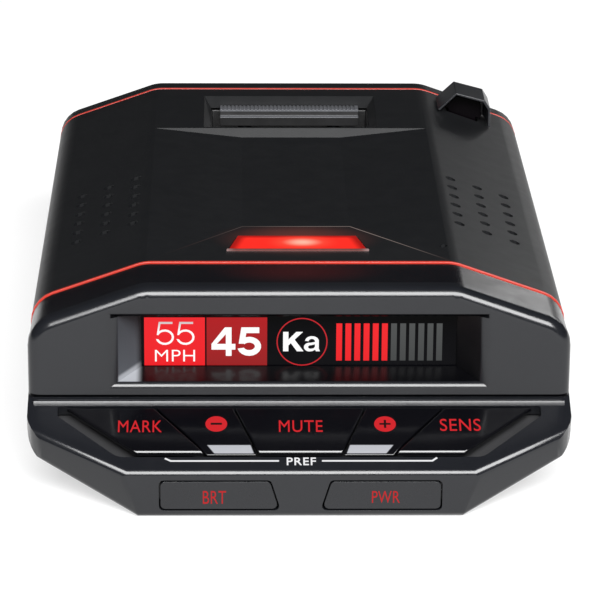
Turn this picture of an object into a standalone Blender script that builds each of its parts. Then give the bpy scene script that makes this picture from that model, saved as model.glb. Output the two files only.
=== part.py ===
"""Windscreen radar detector: two moulded shells, a key bezel, a display, a bracket pocket and its insides.

X runs to the right, Y from the driver's side (-Y) to the windscreen side (+Y) and Z up.
The origin is the centre of the flat underside. Dimensions below are millimetres; meshes are made in metres.
"""
import math

import bmesh
import bpy
from mathutils import Vector

MM = 0.001

# Body section, the same from front to back: eight sides, wider than it is high
TOP_HALF = 24.0          # half width of the flat top
TOP_Z = 31.5
SIDE_HALF = 41.5         # half width of the body
SIDE_TOP_Z = 25.3        # where shoulder and side would meet without rounding
SIDE_LOW_Z = 6.8
BASE_HALF = 24.4         # half width of the flat underside
SECTION_RADII = (7.0, 5.0, 4.5, 2.5)   # top, shoulder, lower side and base corners
WALL = 2.2
SPLIT_Z = 12.0           # joint between the two shells
GAP = 0.3                # clearance between touching pieces

# Stations along Y
CHIN_Y = -69.0
FACE_Y = -54.8           # display face
FACE_RADIUS = 1.8        # rounding around the display face
BEZEL_Y = -51.9          # back of the front bezel
CASE_FRONT_Y = -42.0
CASE_BACK_Y = 52.0
STRIPE_WIDTH = 0.55      # trim strip between the shells and the parts at each end
COLLAR_INSET = 0.12      # how far the band in front of the stripe is sunk
REAR_EDGE_Y = 55.9
REAR_Y = 69.0

# Shallow valley in the top
VALLEY_DEPTH = 1.3
VALLEY_HALF = 8.6        # half width of its flat floor
VALLEY_FRONT_Y = -42.4
VALLEY_FLOOR_Y = -21.6
LIP_Y = 28.0             # top edge of the lip behind the valley

# Key shelf, chin and buttons
SHELF_ANGLE = math.radians(22.6)
SHELF_FRONT_Z = 7.44
CHIN_HALF_TOP = 26.8
CHIN_HALF_BASE = 24.4
CHIN_SIDE_Y = -59.9
TRAY_RADII = (0.4, 0.8, 2.5, 2.5, 0.8, 0.4)
TRAY = [(-36.9, 14.1), (-36.9, 12.0), (-27.6, 3.2), (27.6, 3.2), (36.9, 12.0), (36.9, 14.1)]
KEY_TOP = 13.9           # far edge of the keys along the shelf
KEY_LOW = 4.0            # near edge
KEY_SPLITS = ((10.1, 6.4), (22.1, 14.15), (36.0, 24.8))   # key edges, far and near
KEY_THICK = 0.9
KEY_SLOPES = {"narrow": (1.9, 0.6), "wide": (0.5, 0.4)}   # length and drop of the sloped near edge
BUTTON_OUTLINE = [(3.3, 1.45), (21.05, 1.45), (21.05, 5.85), (4.65, 5.85)]
BUTTON_RADIUS = 0.7
BUTTON_GAP = 0.25
BUTTON_MIDDLE = (12.4, 3.65)           # X and Z

# Display
WINDOW_OUTER = (28.4, 15.95, 26.9)     # half width, low and high edge at the face
WINDOW_INNER = (24.2, 17.4, 26.6)      # the same where the tunnel ends
TUNNEL_BACK_Y = -50.8
BEAD_TOP_Z = 13.75       # the bead under the display face, with a fine groove above it
RIM_RADIUS = 0.8         # rounding around the opening

# Vents, lamp, bracket pocket and laser hood
VENT_COLUMNS = (26.3, 30.8, 35.3)
VENT_ROWS = 6
VENT_FIRST_Y = 1.9
VENT_PITCH = 4.68
VENT_RADIUS = 0.9
MIC_AT = (22.9, -34.6)
LAMP_FRONT = (-35.9, 10.8)             # Y and half width
LAMP_BACK = (-28.0, 9.4)
LAMP_PROUD = 0.25                      # how far the lens stands out of the facet
POCKET_HALF = 15.2
POCKET_Y = (28.6, 47.6)
POCKET_FLOOR_Z = 25.0
POCKET_RIM_Z = 28.9      # top of the cup, under the case
BAR_HALF = 12.4
BAR_LOW_Z = 27.2
BAR_TOP_Z = 29.9
HOOD_Y = (41.2, 48.8)
# Arch of the hood from right to left: outside, then inside at its open end and at its closed end
HOOD_ARCH = [(35.9, 31.0), (34.9, 32.6), (29.7, 34.0), (26.2, 30.7)]
HOOD_MOUTH = [(35.5, 30.8), (34.6, 32.25), (29.75, 33.6), (26.6, 30.5)]
HOOD_INSIDE = [(35.1, 30.8), (34.3, 31.95), (29.9, 33.15), (27.0, 30.4)]

# Circuit board, screws and sockets
BOARD_Z = (12.4, 13.9)
SCREW_PLACES = ((-19.0, -34.0), (19.0, -34.0), (-19.0, 44.0), (19.0, 44.0))
SCREW_BORE = 1.45        # radius of the hole around a screw's shank
SIDE_REACH = (38.0, 43.0)              # X from inside to outside the side wall, for cutting openings
POWER_Y = (24.4, 36.6)                 # socket bodies
USB_Y = (-34.2, -25.8)
POWER_TOP_Z = 21.3
USB_TOP_Z = 17.2
JACK_FACE_X = 41.2                     # the sockets end just inside the side wall's face
PHONES_AT = (11.0, 16.4)               # Y and Z
PHONES_RADIUS = 2.6
SENSOR_SIGHT = ((28.2, 43.4, 22.0), (33.8, 47.2, TOP_Z))   # opening under the laser hood
REAR_OPENING = ((-27.0, 8.4), (27.0, 22.6))
SPEAKER_AT = (-28.0, -9.8)


# ---------------------------------------------------------------- building blocks

def make_object(name, mesh_data, origin=(0, 0, 0)):
    """Turns bmesh data in millimetres into an object in metres, with its origin where it is asked for."""
    bmesh.ops.recalc_face_normals(mesh_data, faces=mesh_data.faces)
    start = Vector(origin)
    for vertex in mesh_data.verts:
        vertex.co = (vertex.co - start) * MM
    mesh = bpy.data.meshes.new(name)
    mesh_data.to_mesh(mesh)
    mesh_data.free()
    thing = bpy.data.objects.new(name, mesh)
    thing.location = start * MM
    bpy.context.scene.collection.objects.link(thing)
    return thing


def add_loft(mesh_data, rings):
    """Adds a closed solid through rings of points, each with the same count."""
    made = [[mesh_data.verts.new(point) for point in ring] for ring in rings]
    count = len(made[0])
    for near, far in zip(made, made[1:]):
        for i in range(count):
            j = (i + 1) % count
            mesh_data.faces.new((near[i], near[j], far[j], far[i]))
    mesh_data.faces.new(made[0])
    mesh_data.faces.new(list(reversed(made[-1])))


def loft(name, rings, origin=(0, 0, 0)):
    data = bmesh.new()
    add_loft(data, rings)
    return make_object(name, data, origin)


def along(axis, outline, place):
    """Points of a flat outline at one place along an axis."""
    if axis == "X":
        return [(place, a, b) for a, b in outline]
    if axis == "Y":
        return [(a, place, b) for a, b in outline]
    return [(a, b, place) for a, b in outline]


def prism(name, axis, outline, start, end, origin=(0, 0, 0)):
    return loft(name, [along(axis, outline, start), along(axis, outline, end)], origin)


def rectangle(low, high):
    return [(low[0], low[1]), (high[0], low[1]), (high[0], high[1]), (low[0], high[1])]


def add_box(mesh_data, low, high):
    outline = rectangle(low[:2], high[:2])
    add_loft(mesh_data, [along("Z", outline, low[2]), along("Z", outline, high[2])])


def boxes(name, corners, origin=(0, 0, 0)):
    """One object of separate boxes, each given by its low and high corner."""
    data = bmesh.new()
    for low, high in corners:
        add_box(data, low, high)
    return make_object(name, data, origin)


def circle(centre, radius, sides):
    turns = [2 * math.pi * (i + 0.5) / sides for i in range(sides)]
    return [(centre[0] + radius * math.cos(t), centre[1] + radius * math.sin(t)) for t in turns]


def rods(name, axis, centres, radius, start, end, sides=12):
    """One object of separate round rods along an axis."""
    data = bmesh.new()
    for centre in centres:
        ring = circle(centre, radius, sides)
        add_loft(data, [along(axis, ring, start), along(axis, ring, end)])
    return make_object(name, data)


def turned(name, axis, centres, profile, sides=12):
    """One object of separate turned pieces; the profile lists (radius, place) from one end to the other."""
    data = bmesh.new()
    for centre in centres:
        add_loft(data, [along(axis, circle(centre, radius, sides), place) for radius, place in profile])
    return make_object(name, data)


def as_tool(thing):
    thing.hide_render = True
    thing.display_type = "WIRE"
    return thing


def boolean(target, tool, operation):
    step = target.modifiers.new(operation.lower(), "BOOLEAN")
    step.object = as_tool(tool)
    step.operation = operation
    step.solver = "EXACT"


def cut(target, *tools):
    for tool in tools:
        boolean(target, tool, "DIFFERENCE")


def add(target, *tools):
    for tool in tools:
        boolean(target, tool, "UNION")


def finish(thing, colour, roughness, metallic=0.0, smooth_angle=30.0):
    """Gives a piece its own material and shades its rounded stretches smooth."""
    material = bpy.data.materials.new(thing.name)
    material.use_nodes = True
    shader = material.node_tree.nodes["Principled BSDF"]
    shader.inputs["Base Color"].default_value = (*colour, 1.0)
    shader.inputs["Roughness"].default_value = roughness
    shader.inputs["Metallic"].default_value = metallic
    thing.data.materials.append(material)
    thing.data.shade_smooth()
    thing.data.set_sharp_from_angle(angle=math.radians(smooth_angle))
    return thing


# ---------------------------------------------------------------- outlines

def moved_inward(corners, distance):
    """A convex outline, counter-clockwise, with each side moved inward."""
    lines = []
    for i, start in enumerate(corners):
        end = corners[(i + 1) % len(corners)]
        direction = (Vector(end) - Vector(start)).normalized()
        normal = Vector((-direction.y, direction.x))
        lines.append((Vector(start) + normal * distance, direction))
    result = []
    for i in range(len(corners)):
        first, along_first = lines[i - 1]
        second, along_second = lines[i]
        cross = along_first.x * along_second.y - along_first.y * along_second.x
        step = second - first
        travel = (step.x * along_second.y - step.y * along_second.x) / cross
        result.append(tuple(first + along_first * travel))
    return result


def rounded(corners, radii, steps=5):
    """A convex outline with an arc at each corner."""
    result = []
    count = len(corners)
    for i, corner in enumerate(corners):
        here = Vector(corner)
        before = (Vector(corners[i - 1]) - here).normalized()
        after = (Vector(corners[(i + 1) % count]) - here).normalized()
        half = before.angle(after) / 2
        reach = radii[i] / math.tan(half)
        centre = here + (before + after).normalized() * (radii[i] / math.sin(half))
        start = here + before * reach - centre
        sweep = start.angle_signed(here + after * reach - centre)
        for k in range(steps + 1):
            turn = -sweep * k / steps
            spoke = Vector((start.x * math.cos(turn) - start.y * math.sin(turn),
                            start.x * math.sin(turn) + start.y * math.cos(turn)))
            result.append(tuple(centre + spoke))
    return result


def body_section(inset=0.0):
    """The rounded eight-sided body section, counter-clockwise in X and Z."""
    right = [(BASE_HALF, 0.0), (SIDE_HALF, SIDE_LOW_Z), (SIDE_HALF, SIDE_TOP_Z), (TOP_HALF, TOP_Z)]
    left = [(-x, z) for x, z in reversed(right)]
    top, shoulder, low, base = [max(radius - inset, 0.6) for radius in SECTION_RADII]
    radii = [base, low, shoulder, top, top, shoulder, low, base]
    return rounded(moved_inward(right + left, inset), radii)


def part_above(outline, height):
    """The stretch of a convex outline above a height, as an open chain from right to left."""
    chain = []
    count = len(outline)
    first = next(i for i in range(count) if outline[i - 1][1] < height <= outline[i][1])
    for k in range(-1, count):
        here = outline[(first + k) % count]
        if here[1] >= height:
            chain.append(here)
        elif chain:
            break
    last = chain[-1]
    return [(chain[0][0], height), *chain, (last[0], height)]


def part_below(outline, height):
    turned_over = [(-x, -z) for x, z in outline]
    return [(-x, -z) for x, z in part_above(turned_over, -height)]


def shell_profile(part, height, wall):
    outer = part(body_section(), height)
    inner = part(body_section(wall), height)
    return outer + list(reversed(inner))


def shelf_point(x, reach, rise):
    """A point on the key shelf: reach up the slope from its front edge, rise out of its surface."""
    cosine, sine = math.cos(SHELF_ANGLE), math.sin(SHELF_ANGLE)
    return (x, CHIN_Y + reach * cosine - rise * sine, SHELF_FRONT_Z + reach * sine + rise * cosine)


def shelf_prism(name, outline, low, high, origin=(0, 0, 0)):
    rings = [[shelf_point(x, reach, rise) for x, reach in outline] for rise in (low, high)]
    return loft(name, rings, origin)


# ---------------------------------------------------------------- housing

def valley_tool():
    """A block whose underside is the valley: a flat floor, three long facets and a lip at the back."""
    spread = 1.0 / 3.0     # how far the facets run on past the top surface
    wide = TOP_HALF + (TOP_HALF - VALLEY_HALF) * spread
    front = VALLEY_FRONT_Y - (VALLEY_FLOOR_Y - VALLEY_FRONT_Y) * spread
    back = LIP_Y + VALLEY_DEPTH * spread
    floor_back = LIP_Y - VALLEY_DEPTH
    high = TOP_Z + VALLEY_DEPTH * spread
    floor = TOP_Z - VALLEY_DEPTH
    outer = [(-wide, front, high), (wide, front, high), (wide, back, high), (-wide, back, high)]
    inner = [(-VALLEY_HALF, VALLEY_FLOOR_Y, floor), (VALLEY_HALF, VALLEY_FLOOR_Y, floor),
             (VALLEY_HALF, floor_back, floor), (-VALLEY_HALF, floor_back, floor)]
    lid = [(x, y, high + 2.0) for x, y, z in outer]
    return loft("valley_tool", [inner, outer, lid])


def make_top_case():
    case = prism("top_case", "Y", shell_profile(part_above, SPLIT_Z, WALL), CASE_FRONT_Y, CASE_BACK_Y)
    vents = [(side * x, VENT_FIRST_Y - row * VENT_PITCH)
             for side in (-1, 1) for x in VENT_COLUMNS for row in range(VENT_ROWS)]
    posts = turned("post_tool", "Z", SCREW_PLACES, [(2.6, BOARD_Z[1] + GAP), (2.6, TOP_Z - 1.9)])
    bores = rods("post_bore_tool", "Z", SCREW_PLACES, SCREW_BORE, BOARD_Z[1] - 1, BOARD_Z[1] + 9)
    mouth = rectangle((-POCKET_HALF, POCKET_Y[0]), (POCKET_HALF, POCKET_Y[1]))
    neck = rectangle((-POCKET_HALF + 1.4, POCKET_Y[0] + 0.5), (POCKET_HALF - 1.4, POCKET_Y[1] - 0.1))
    levels = ((neck, POCKET_FLOOR_Z), (neck, POCKET_RIM_Z), (mouth, TOP_Z), (mouth, TOP_Z + 2))
    pocket = loft("pocket_tool", [along("Z", outline, z) for outline, z in levels])
    lamp_hole = [(-LAMP_FRONT[1] - GAP, LAMP_FRONT[0] - GAP), (LAMP_FRONT[1] + GAP, LAMP_FRONT[0] - GAP),
                 (LAMP_BACK[1] + GAP, LAMP_BACK[0] + GAP), (-LAMP_BACK[1] - GAP, LAMP_BACK[0] + GAP)]
    lamp = prism("lamp_tool", "Z", lamp_hole, 27, TOP_Z + 2)
    holes = rods("vent_tool", "Z", vents, VENT_RADIUS, 20, TOP_Z + 2, 8)
    mic = rods("mic_tool", "Z", [MIC_AT], 0.7, 27, TOP_Z + 2, 8)
    sight = boxes("sight_tool", [SENSOR_SIGHT])
    near, far = SIDE_REACH
    low, clear = SPLIT_Z - 1, 0.4
    power = ((near, POWER_Y[0] - clear, low), (far, POWER_Y[1] + clear, POWER_TOP_Z + GAP))
    usb = ((-far, USB_Y[0] - clear, low), (-near, USB_Y[1] + clear, USB_TOP_Z + clear))
    jack = boxes("jack_tool", [power, usb])
    phones = rods("phones_tool", "X", [PHONES_AT], PHONES_RADIUS + clear, -far, -near)
    cut(case, valley_tool())
    add(case, posts)
    cut(case, bores, pocket, lamp, holes, mic, sight, jack, phones)
    return finish(case, (0.022, 0.023, 0.026), 0.5)


def make_bottom_case():
    profile = shell_profile(part_below, SPLIT_Z - GAP, WALL)
    reach = STRIPE_WIDTH + GAP
    case = prism("bottom_case", "Y", profile, CASE_FRONT_Y - reach, CASE_BACK_Y + reach)
    posts = rods("stand_tool", "Z", SCREW_PLACES, 4.2, 1.0, BOARD_Z[0] - GAP)
    heads = rods("head_tool", "Z", SCREW_PLACES, 2.7, -1.0, 3.0)
    bores = rods("stand_bore_tool", "Z", SCREW_PLACES, SCREW_BORE, -1.0, 14.0)
    add(case, posts)
    cut(case, heads, bores)
    return finish(case, (0.020, 0.021, 0.024), 0.5)


def make_front_collar():
    """The recessed band between the shells and the bezel."""
    outer = body_section(COLLAR_INSET)
    collar = prism("front_collar", "Y", outer, BEZEL_Y + GAP, CASE_FRONT_Y - STRIPE_WIDTH - 2 * GAP)
    cut(collar, prism("collar_tool", "Y", body_section(1.4), BEZEL_Y - 5, CASE_FRONT_Y))
    return finish(collar, (0.010, 0.010, 0.012), 0.22)


def make_stripe(name, start):
    """A narrow coloured trim strip over the top, the shoulders and the sides."""
    outer = part_above(body_section(-0.05), SPLIT_Z)
    inner = part_above(body_section(1.4), SPLIT_Z)
    stripe = prism(name, "Y", outer + list(reversed(inner)), start, start + STRIPE_WIDTH)
    return finish(stripe, (0.75, 0.02, 0.01), 0.35)


def edge_planes(first, second, at, radius, steps=4):
    """Planes that round the edge between two outward-facing planes, both through the point at."""
    bisector = (first + second).normalized()
    centre = at - bisector * (radius / bisector.dot(first))
    normals = [first.slerp(second, k / (steps + 1)) for k in range(1, steps + 1)]
    return [(centre + normal * radius, normal) for normal in normals]


def chin_planes(inset):
    """Planes (point, outward normal) that shape the chin from the body section, without and with rounding."""
    front = Vector((0.0, -1.0, 0.0))
    shelf = Vector((0.0, -math.sin(SHELF_ANGLE), math.cos(SHELF_ANGLE)))
    base = Vector((0.0, 0.0, -1.0))
    top_front = Vector((CHIN_HALF_TOP, CHIN_Y, SHELF_FRONT_Z))
    low_front = Vector((CHIN_HALF_BASE, CHIN_Y, 0.0))
    low_side = Vector((SIDE_HALF, CHIN_SIDE_Y, SIDE_LOW_Z))
    end = (low_side - low_front).cross(top_front - low_front).normalized()
    rise = SIDE_LOW_Z / (SIDE_HALF - BASE_HALF)
    under = Vector((rise, 0.0, -1.0)).normalized()
    side = Vector((1.0, 0.0, 0.0))
    sharp = [(top_front, front), (top_front, shelf)]
    soft = edge_planes(front, shelf, top_front, 1.3) + edge_planes(front, base, low_front, 1.2)
    for turn in (1, -1):
        flip = Vector((turn, 1, 1))
        ends = [(low_front, end)]
        ends += edge_planes(front, end, low_front, 3.0)
        ends += edge_planes(end, shelf, top_front, 1.5)
        ends += edge_planes(end, side, low_side, 6.0)
        ends += edge_planes(end, under, low_front, 1.5)
        sharp.append((low_front * flip, end * flip))
        soft += [(point * flip, normal * flip) for point, normal in ends[1:]]
    planes = sharp if inset else sharp + soft
    return [(point - normal * inset, normal) for point, normal in planes]


def chin_block(name, inset, back):
    """The convex chin: the body section cut down by the shelf, the front and both slanted ends."""
    data = bmesh.new()
    section = body_section(inset)
    add_loft(data, [along("Y", section, CHIN_Y - 1), along("Y", section, back)])
    for point, normal in chin_planes(inset):
        geometry = list(data.verts) + list(data.edges) + list(data.faces)
        result = bmesh.ops.bisect_plane(data, geom=geometry, plane_co=point, plane_no=normal,
                                        clear_outer=True)
        rim = [item for item in result["geom_cut"] if isinstance(item, bmesh.types.BMEdge)]
        if rim:
            bmesh.ops.edgeloop_fill(data, edges=rim)
    bmesh.ops.remove_doubles(data, verts=data.verts, dist=0.002)
    bmesh.ops.dissolve_degenerate(data, edges=data.edges, dist=0.002)
    return make_object(name, data)


def bead_tool():
    """A rounded bead across the foot of the display face."""
    foot = shelf_point(0, 14.2, 0.0)
    inside = FACE_Y + 1.0
    curve = [(-55.75, 13.25), (-55.6, 13.55), (-55.3, BEAD_TOP_Z - 0.03), (-54.9, BEAD_TOP_Z), (inside, BEAD_TOP_Z)]
    outline = [(foot[1], foot[2] - 0.6), (foot[1], foot[2]), *curve, (inside, foot[2] - 0.6)]
    return prism("bead_tool", "X", outline, -SIDE_HALF + 0.9, SIDE_HALF - 0.9)


def window_tool():
    """The display tunnel: a rounded rim at the face, then walls that close in towards the screen."""
    steps = 4
    length = TUNNEL_BACK_Y - FACE_Y
    stations = [(FACE_Y - 1.0, RIM_RADIUS, 0.0)]
    for k in range(steps + 1):
        turn = math.pi / 2 * k / steps
        depth = RIM_RADIUS * (1 - math.cos(turn))
        stations.append((FACE_Y + depth, RIM_RADIUS * (1 - math.sin(turn)), depth / length))
    stations.append((TUNNEL_BACK_Y + 1.0, 0.0, 1.0 + 1.0 / length))
    rings = []
    for y, rim, share in stations:
        half, low, high = [a + (b - a) * share for a, b in zip(WINDOW_OUTER, WINDOW_INNER)]
        rings.append(along("Y", rectangle((-half - rim, low - rim), (half + rim, high + rim)), y))
    return loft("window_tool", rings)


def make_front_bezel():
    """Display face, key shelf and chin in one moulding, open at the back."""
    steps = 6
    turns = [math.pi / 2 * k / steps for k in range(steps + 1)]
    face = [(FACE_Y + FACE_RADIUS * (1 - math.sin(t)), FACE_RADIUS * (1 - math.cos(t))) for t in turns]
    rings = [along("Y", body_section(inset), y) for y, inset in [(BEZEL_Y, 0.0), *face]]
    bezel = loft("front_bezel", rings)
    add(bezel, chin_block("chin_tool", 0.0, BEZEL_Y - 0.02), bead_tool())
    wide = SIDE_HALF + 1
    line = ((-wide, FACE_Y - 0.1, BEAD_TOP_Z), (wide, FACE_Y + 0.35, BEAD_TOP_Z + 0.55))
    groove = boxes("groove_tool", [line])
    hollow = prism("bezel_hollow_tool", "Y", body_section(1.8), FACE_Y + 1.8, BEZEL_Y + 5)
    half, low, high = WINDOW_OUTER
    walls = ((-half - 1.6, FACE_Y + 0.9, low - 1.4), (half + 1.6, TUNNEL_BACK_Y, high + 0.7))
    tunnel = boxes("tunnel_tool", [walls])
    cut(bezel, groove, hollow, chin_block("chin_hollow_tool", 1.8, BEZEL_Y + 5))
    add(bezel, tunnel)
    cut(bezel, window_tool())
    cut(bezel, shelf_prism("tray_tool", rounded(TRAY, TRAY_RADII, 3), -3.0, 2.0))
    for side in (1, -1):
        outline = [(side * x, z) for x, z in button_outline(-BUTTON_GAP)]
        cut(bezel, prism(f"button_tool_{side}", "Y", outline, CHIN_Y - 1, CHIN_Y + 3))
    return finish(bezel, (0.035, 0.036, 0.040), 0.28)


def make_rear_bezel():
    """The windscreen end: the section shrinks towards a dark window."""
    start = CASE_BACK_Y + STRIPE_WIDTH + 2 * GAP
    places = ((start, 0.0), (REAR_EDGE_Y, 0.0), (REAR_EDGE_Y + 1.6, 0.5), (REAR_Y - 3.0, 4.6), (REAR_Y, 6.2))
    bezel = loft("rear_bezel", [along("Y", body_section(inset), y) for y, inset in places])
    inside = ((start - 2, WALL), (REAR_EDGE_Y, WALL), (REAR_Y - 3.5, 7.0))
    hollow = loft("rear_hollow_tool", [along("Y", body_section(inset), y) for y, inset in inside])
    opening = prism("rear_window_tool", "Y", rectangle(*REAR_OPENING), REAR_Y - 8, REAR_Y + 2)
    cut(bezel, hollow, opening)
    return finish(bezel, (0.022, 0.023, 0.026), 0.45)


def make_rear_window():
    (left, low), (right, high) = REAR_OPENING
    pane = ((left + GAP, REAR_Y - 3.2, low + GAP), (right - GAP, REAR_Y - 0.8, high - GAP))
    window = boxes("rear_window", [pane])
    return finish(window, (0.02, 0.006, 0.008), 0.08)


def make_laser_hood():
    """A small arch over the rearward laser sensor, open towards the driver."""
    deep = 24.0
    outline = [(HOOD_ARCH[0][0], deep), *HOOD_ARCH, (HOOD_ARCH[-1][0], deep)]
    hood = prism("laser_hood", "Y", outline, *HOOD_Y)
    rings = []
    for arch, y in ((HOOD_MOUTH, HOOD_Y[0] - 0.5), (HOOD_INSIDE, HOOD_Y[1] - 1.0)):
        rings.append(along("Y", [(arch[0][0], deep - 1), *arch, (arch[-1][0], deep - 1)], y))
    opening = loft("hood_tool", rings)
    rise = (TOP_Z - SIDE_TOP_Z) / (SIDE_HALF - TOP_HALF)
    left, right = 24.0, 40.0
    seat_outline = [(x, TOP_Z - rise * (x - TOP_HALF) + GAP) for x in (left, right)]
    seat_outline += [(right, 20.0), (left, 20.0)]
    seat = prism("hood_seat_tool", "Y", seat_outline, HOOD_Y[0] - 3, HOOD_Y[1] + 3)
    cut(hood, opening, seat)
    return finish(hood, (0.012, 0.012, 0.014), 0.18)


def make_laser_hood_lens():
    """Dark filter that stands in the hood, on the shoulder."""
    seated = [(28.5, 29.0), (33.5, 27.2), (33.5, 28.6), (34.4, 28.3)]
    arched = [(34.4, 31.0), (33.9, 31.7), (29.9, 32.7), (27.7, 30.6), (28.5, 30.3)]
    outline = seated + arched
    lens = prism("laser_hood_lens", "Y", outline, HOOD_Y[0] + 2.8, HOOD_Y[0] + 5.6)
    return finish(lens, (0.02, 0.004, 0.006), 0.05)


def slope_height(y):
    """Height of the valley's front facet."""
    return TOP_Z - VALLEY_DEPTH * (y - VALLEY_FRONT_Y) / (VALLEY_FLOOR_Y - VALLEY_FRONT_Y)


def make_alert_lamp_lens():
    corners = [(-LAMP_FRONT[1], LAMP_FRONT[0]), (LAMP_FRONT[1], LAMP_FRONT[0]),
               (LAMP_BACK[1], LAMP_BACK[0]), (-LAMP_BACK[1], LAMP_BACK[0])]
    low = along("Z", corners, 28.0)
    high = [(x, y, slope_height(y) + LAMP_PROUD) for x, y in corners]
    lens = loft("alert_lamp_lens", [low, high])
    return finish(lens, (0.8, 0.02, 0.01), 0.15)


def make_display_window():
    half, low, high = WINDOW_OUTER
    window = boxes("display_window", [((-half + 1.0, TUNNEL_BACK_Y + GAP, low + 0.3),
                                       (half - 1.0, TUNNEL_BACK_Y + GAP + 0.8, high + 0.6))])
    return finish(window, (0.01, 0.01, 0.012), 0.05)


# ---------------------------------------------------------------- controls

def key_outline(first, second):
    """A key between two slanted edges of the row, given by their (far, near) half positions."""
    corners = [(first[1], KEY_LOW), (second[1], KEY_LOW), (second[0], KEY_TOP), (first[0], KEY_TOP)]
    return moved_inward(corners, GAP / 2)


def mirrored(outline):
    return [(-x, reach) for x, reach in reversed(outline)]


def middle_of(outline):
    return (sum(x for x, reach in outline) / len(outline), sum(reach for x, reach in outline) / len(outline))


def pulled_back(outline, slope):
    """A key's outline with its near side moved up the shelf along the slanted sides."""
    middle = (KEY_LOW + KEY_TOP) / 2
    result = []
    for i, (x, reach) in enumerate(outline):
        if reach < middle:
            neighbours = (outline[i - 1], outline[(i + 1) % len(outline)])
            far = next(corner for corner in neighbours if corner[1] > middle)
            x += (far[0] - x) * slope / (far[1] - reach)
            reach += slope
        result.append((x, reach))
    return result


def make_key(name, outline):
    """A hard key cap with a sloped near edge and a boss under it that reaches down to its switch."""
    slope, drop = KEY_SLOPES["narrow" if name in ("key_minus", "key_plus") else "wide"]
    middle = middle_of(outline)
    levels = ((outline, -KEY_THICK), (outline, -drop), (pulled_back(outline, slope), 0.0))
    rings = [[shelf_point(x, reach, rise) for x, reach in ring] for ring, rise in levels]
    key = loft(name, rings, shelf_point(*middle, 0.0))
    boss = shelf_prism(name + "_boss_tool", circle(middle, 1.4, 8), -2.35, -KEY_THICK + 0.15)
    add(key, boss)
    return finish(key, (0.006, 0.006, 0.008), 0.12)


def key_outlines():
    middle, outer, end = KEY_SPLITS
    minus_edge = (-middle[0], -middle[1])
    plus = key_outline(middle, outer)
    sens = key_outline(outer, end)
    mute = key_outline(minus_edge, middle)
    return {"key_mark": mirrored(sens), "key_minus": mirrored(plus), "key_mute": mute,
            "key_plus": plus, "key_sens": sens}


def make_key_mat(outlines):
    """A silicone sheet behind the keys, with a hole for each boss."""
    outline = moved_inward(TRAY, -0.6)
    mat = shelf_prism("key_mat", outline, -2.75, -2.15)
    for name, keys in outlines.items():
        cut(mat, shelf_prism(name + "_mat_tool", circle(middle_of(keys), 1.9, 8), -4, -1))
    return finish(mat, (0.012, 0.012, 0.014), 0.55)


def make_key_board():
    outline = [(-26.0, 5.0), (26.0, 5.0), (32.0, 13.6), (-32.0, 13.6)]
    return finish(shelf_prism("key_board", outline, -4.3, -3.6), (0.02, 0.10, 0.05), 0.4)


def make_dome_switches(outlines):
    for name, keys in outlines.items():
        middle = middle_of(keys)
        rings = [[shelf_point(x, reach, rise) for x, reach in circle(middle, radius, 10)]
                 for radius, rise in ((2.2, -3.45), (2.0, -3.15), (1.0, -2.95))]
        finish(loft(name.replace("key", "dome"), rings), (0.75, 0.75, 0.72), 0.3, 1.0)


def button_outline(inset=0.0):
    return rounded(moved_inward(BUTTON_OUTLINE, inset), [BUTTON_RADIUS] * len(BUTTON_OUTLINE), 3)


def make_button(name, side):
    """A chin button: a slanted cap, and a flange behind the wall that holds it in."""
    outline = [(side * x, z) for x, z in button_outline()]
    origin = (side * BUTTON_MIDDLE[0], CHIN_Y, BUTTON_MIDDLE[1])
    button = prism(name, "Y", outline, CHIN_Y, CHIN_Y + 2.3, origin)
    flange_outline = [(side * x, z) for x, z in moved_inward(BUTTON_OUTLINE, -0.7)]
    flange_outline = [(x, min(max(z, 2.1), 5.95)) for x, z in flange_outline]
    add(button, prism(name + "_flange_tool", "Y", flange_outline, CHIN_Y + 2.1, CHIN_Y + 2.7))
    return finish(button, (0.03, 0.03, 0.034), 0.35)


def make_button_board():
    return finish(boxes("button_board", [((-22.0, -64.4, 2.0), (22.0, -63.7, 5.8))]), (0.02, 0.10, 0.05), 0.4)


def make_button_switches():
    half, tall = 1.8, 1.5
    z = BUTTON_MIDDLE[1] + 0.25
    for name, side in (("switch_brt", -1), ("switch_pwr", 1)):
        x = side * BUTTON_MIDDLE[0]
        switch = boxes(name, [((x - half, -65.2, z - tall), (x + half, -64.6, z + tall))])
        finish(switch, (0.6, 0.6, 0.6), 0.3, 1.0)


# ---------------------------------------------------------------- bracket mount

def make_mount_pocket():
    """The cup that takes the windscreen bracket's blade, with a well at the back for the release bar."""
    rim = POCKET_RIM_Z
    outer = ((-POCKET_HALF, POCKET_Y[0] - 0.6, POCKET_FLOOR_Z - 1.6), (POCKET_HALF, POCKET_Y[1] + 1.0, rim))
    pocket = boxes("mount_pocket", [outer])
    half = POCKET_HALF - 1.4
    inner = ((-half, POCKET_Y[0] + 0.6, POCKET_FLOOR_Z), (half, POCKET_Y[1] - 0.1, rim + 2))
    cut(pocket, boxes("pocket_room_tool", [inner]))
    return finish(pocket, (0.010, 0.010, 0.012), 0.5)


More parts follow.
